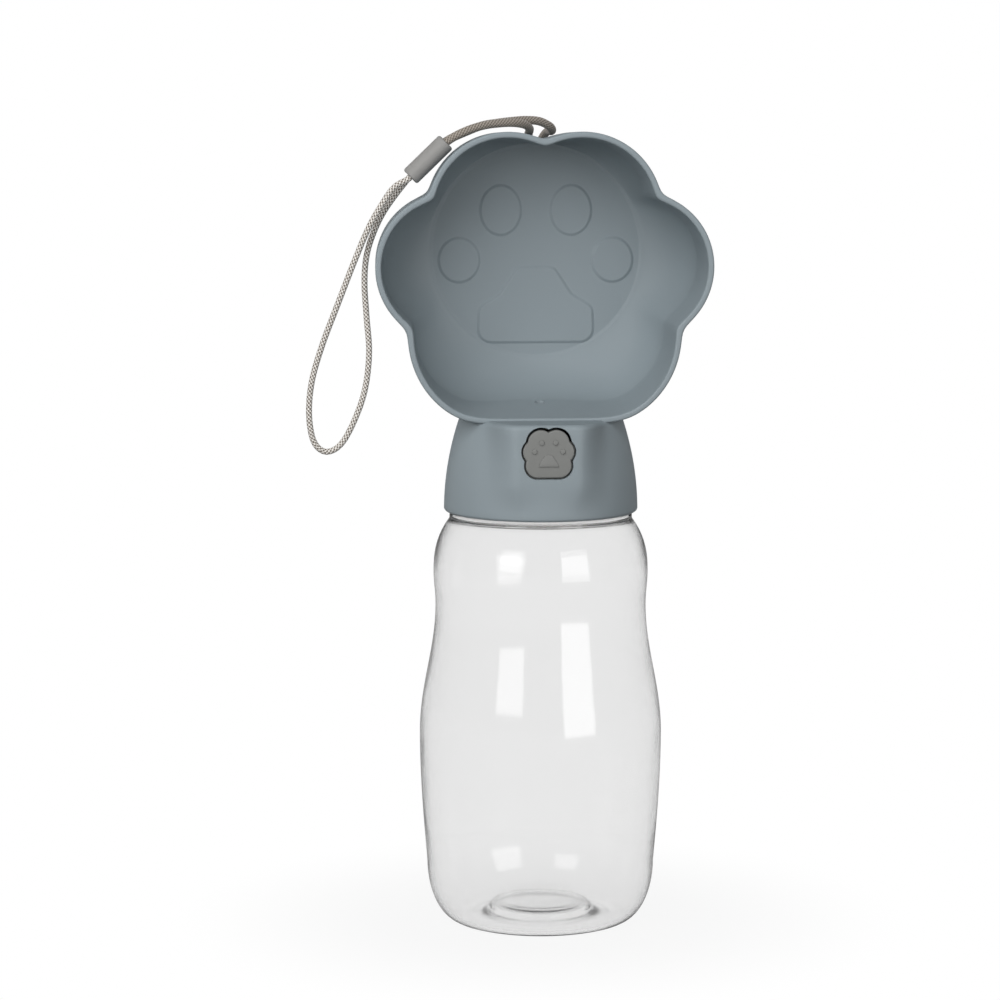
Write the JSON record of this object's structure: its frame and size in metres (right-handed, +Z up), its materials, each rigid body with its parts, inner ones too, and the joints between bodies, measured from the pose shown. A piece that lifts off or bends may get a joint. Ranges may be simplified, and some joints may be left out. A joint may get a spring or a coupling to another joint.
{
  "type": "dog travel water bottle",
  "caption": "Clear pet water bottle with a screw-on grey head: upright paw-shaped drinking bowl, push-button valve in the collar and a wrist lanyard behind the bowl.",
  "frame": {"origin": "middle of the ring that the bottle stands on", "axes": "+Z up along the bottle's axis, -Y out of the bowl's mouth and the button's face"},
  "size_m": [0.1334, 0.0808, 0.2687],
  "materials": {
    "clear_bottle": "clear polished plastic",
    "grey_shell": "satin moulded grey",
    "button_grey": "satin moulded warm grey",
    "natural_plastic": "moulded natural white",
    "silicone": "translucent silicone",
    "black_rubber": "moulded rubber",
    "steel": "stainless",
    "strap_fabric": "braided, brown-grey",
    "cord_fabric": "braided, grey with light specks",
    "sleeve_grey": "moulded grey"
  },
  "bodies": {
    "bottle": {"bottle": "clear_bottle"},
    "seal": {"neck_gasket": "silicone"},
    "head": {"head_shell": "grey_shell", "inner_cap": "natural_plastic", "valve_body": "natural_plastic", "valve_screws": "steel", "outlet_seal": "silicone", "stem_o_ring": "black_rubber", "gland_bush": "natural_plastic", "end_plug": "natural_plastic", "end_plug_o_ring": "black_rubber", "return_spring": "steel", "sleeve_front": "sleeve_grey", "sleeve_back": "sleeve_grey", "eyelet_strap": "strap_fabric", "wrist_loop": "cord_fabric"},
    "button": {"button": "button_grey", "valve_stem": "steel", "poppet_seal": "silicone", "poppet_disc": "natural_plastic", "stem_clip": "steel"}
  },
  "joints": [
    {"name": "head_rise", "type": "slide", "parent": "bottle", "child": "seal", "axis": [0, 0, 1], "range_m": [0, 0.012]},
    {"name": "head_unscrew", "type": "hinge", "parent": "seal", "child": "head", "pos_m": [0, 0, 0.15], "axis": [0, 0, 1], "range_deg": [0, 1080]},
    {"name": "button_press", "type": "slide", "parent": "head", "child": "button", "axis": [0, 1, 0], "range_m": [0, 0.003], "stiffness_N_per_m": 400, "springref_m": -0.003, "deforming": ["return_spring"]}
  ],
  "couplings": [
    {"joint": "head_rise", "follows": "head_unscrew", "m_per_rad": 0.00063662}
  ]
}
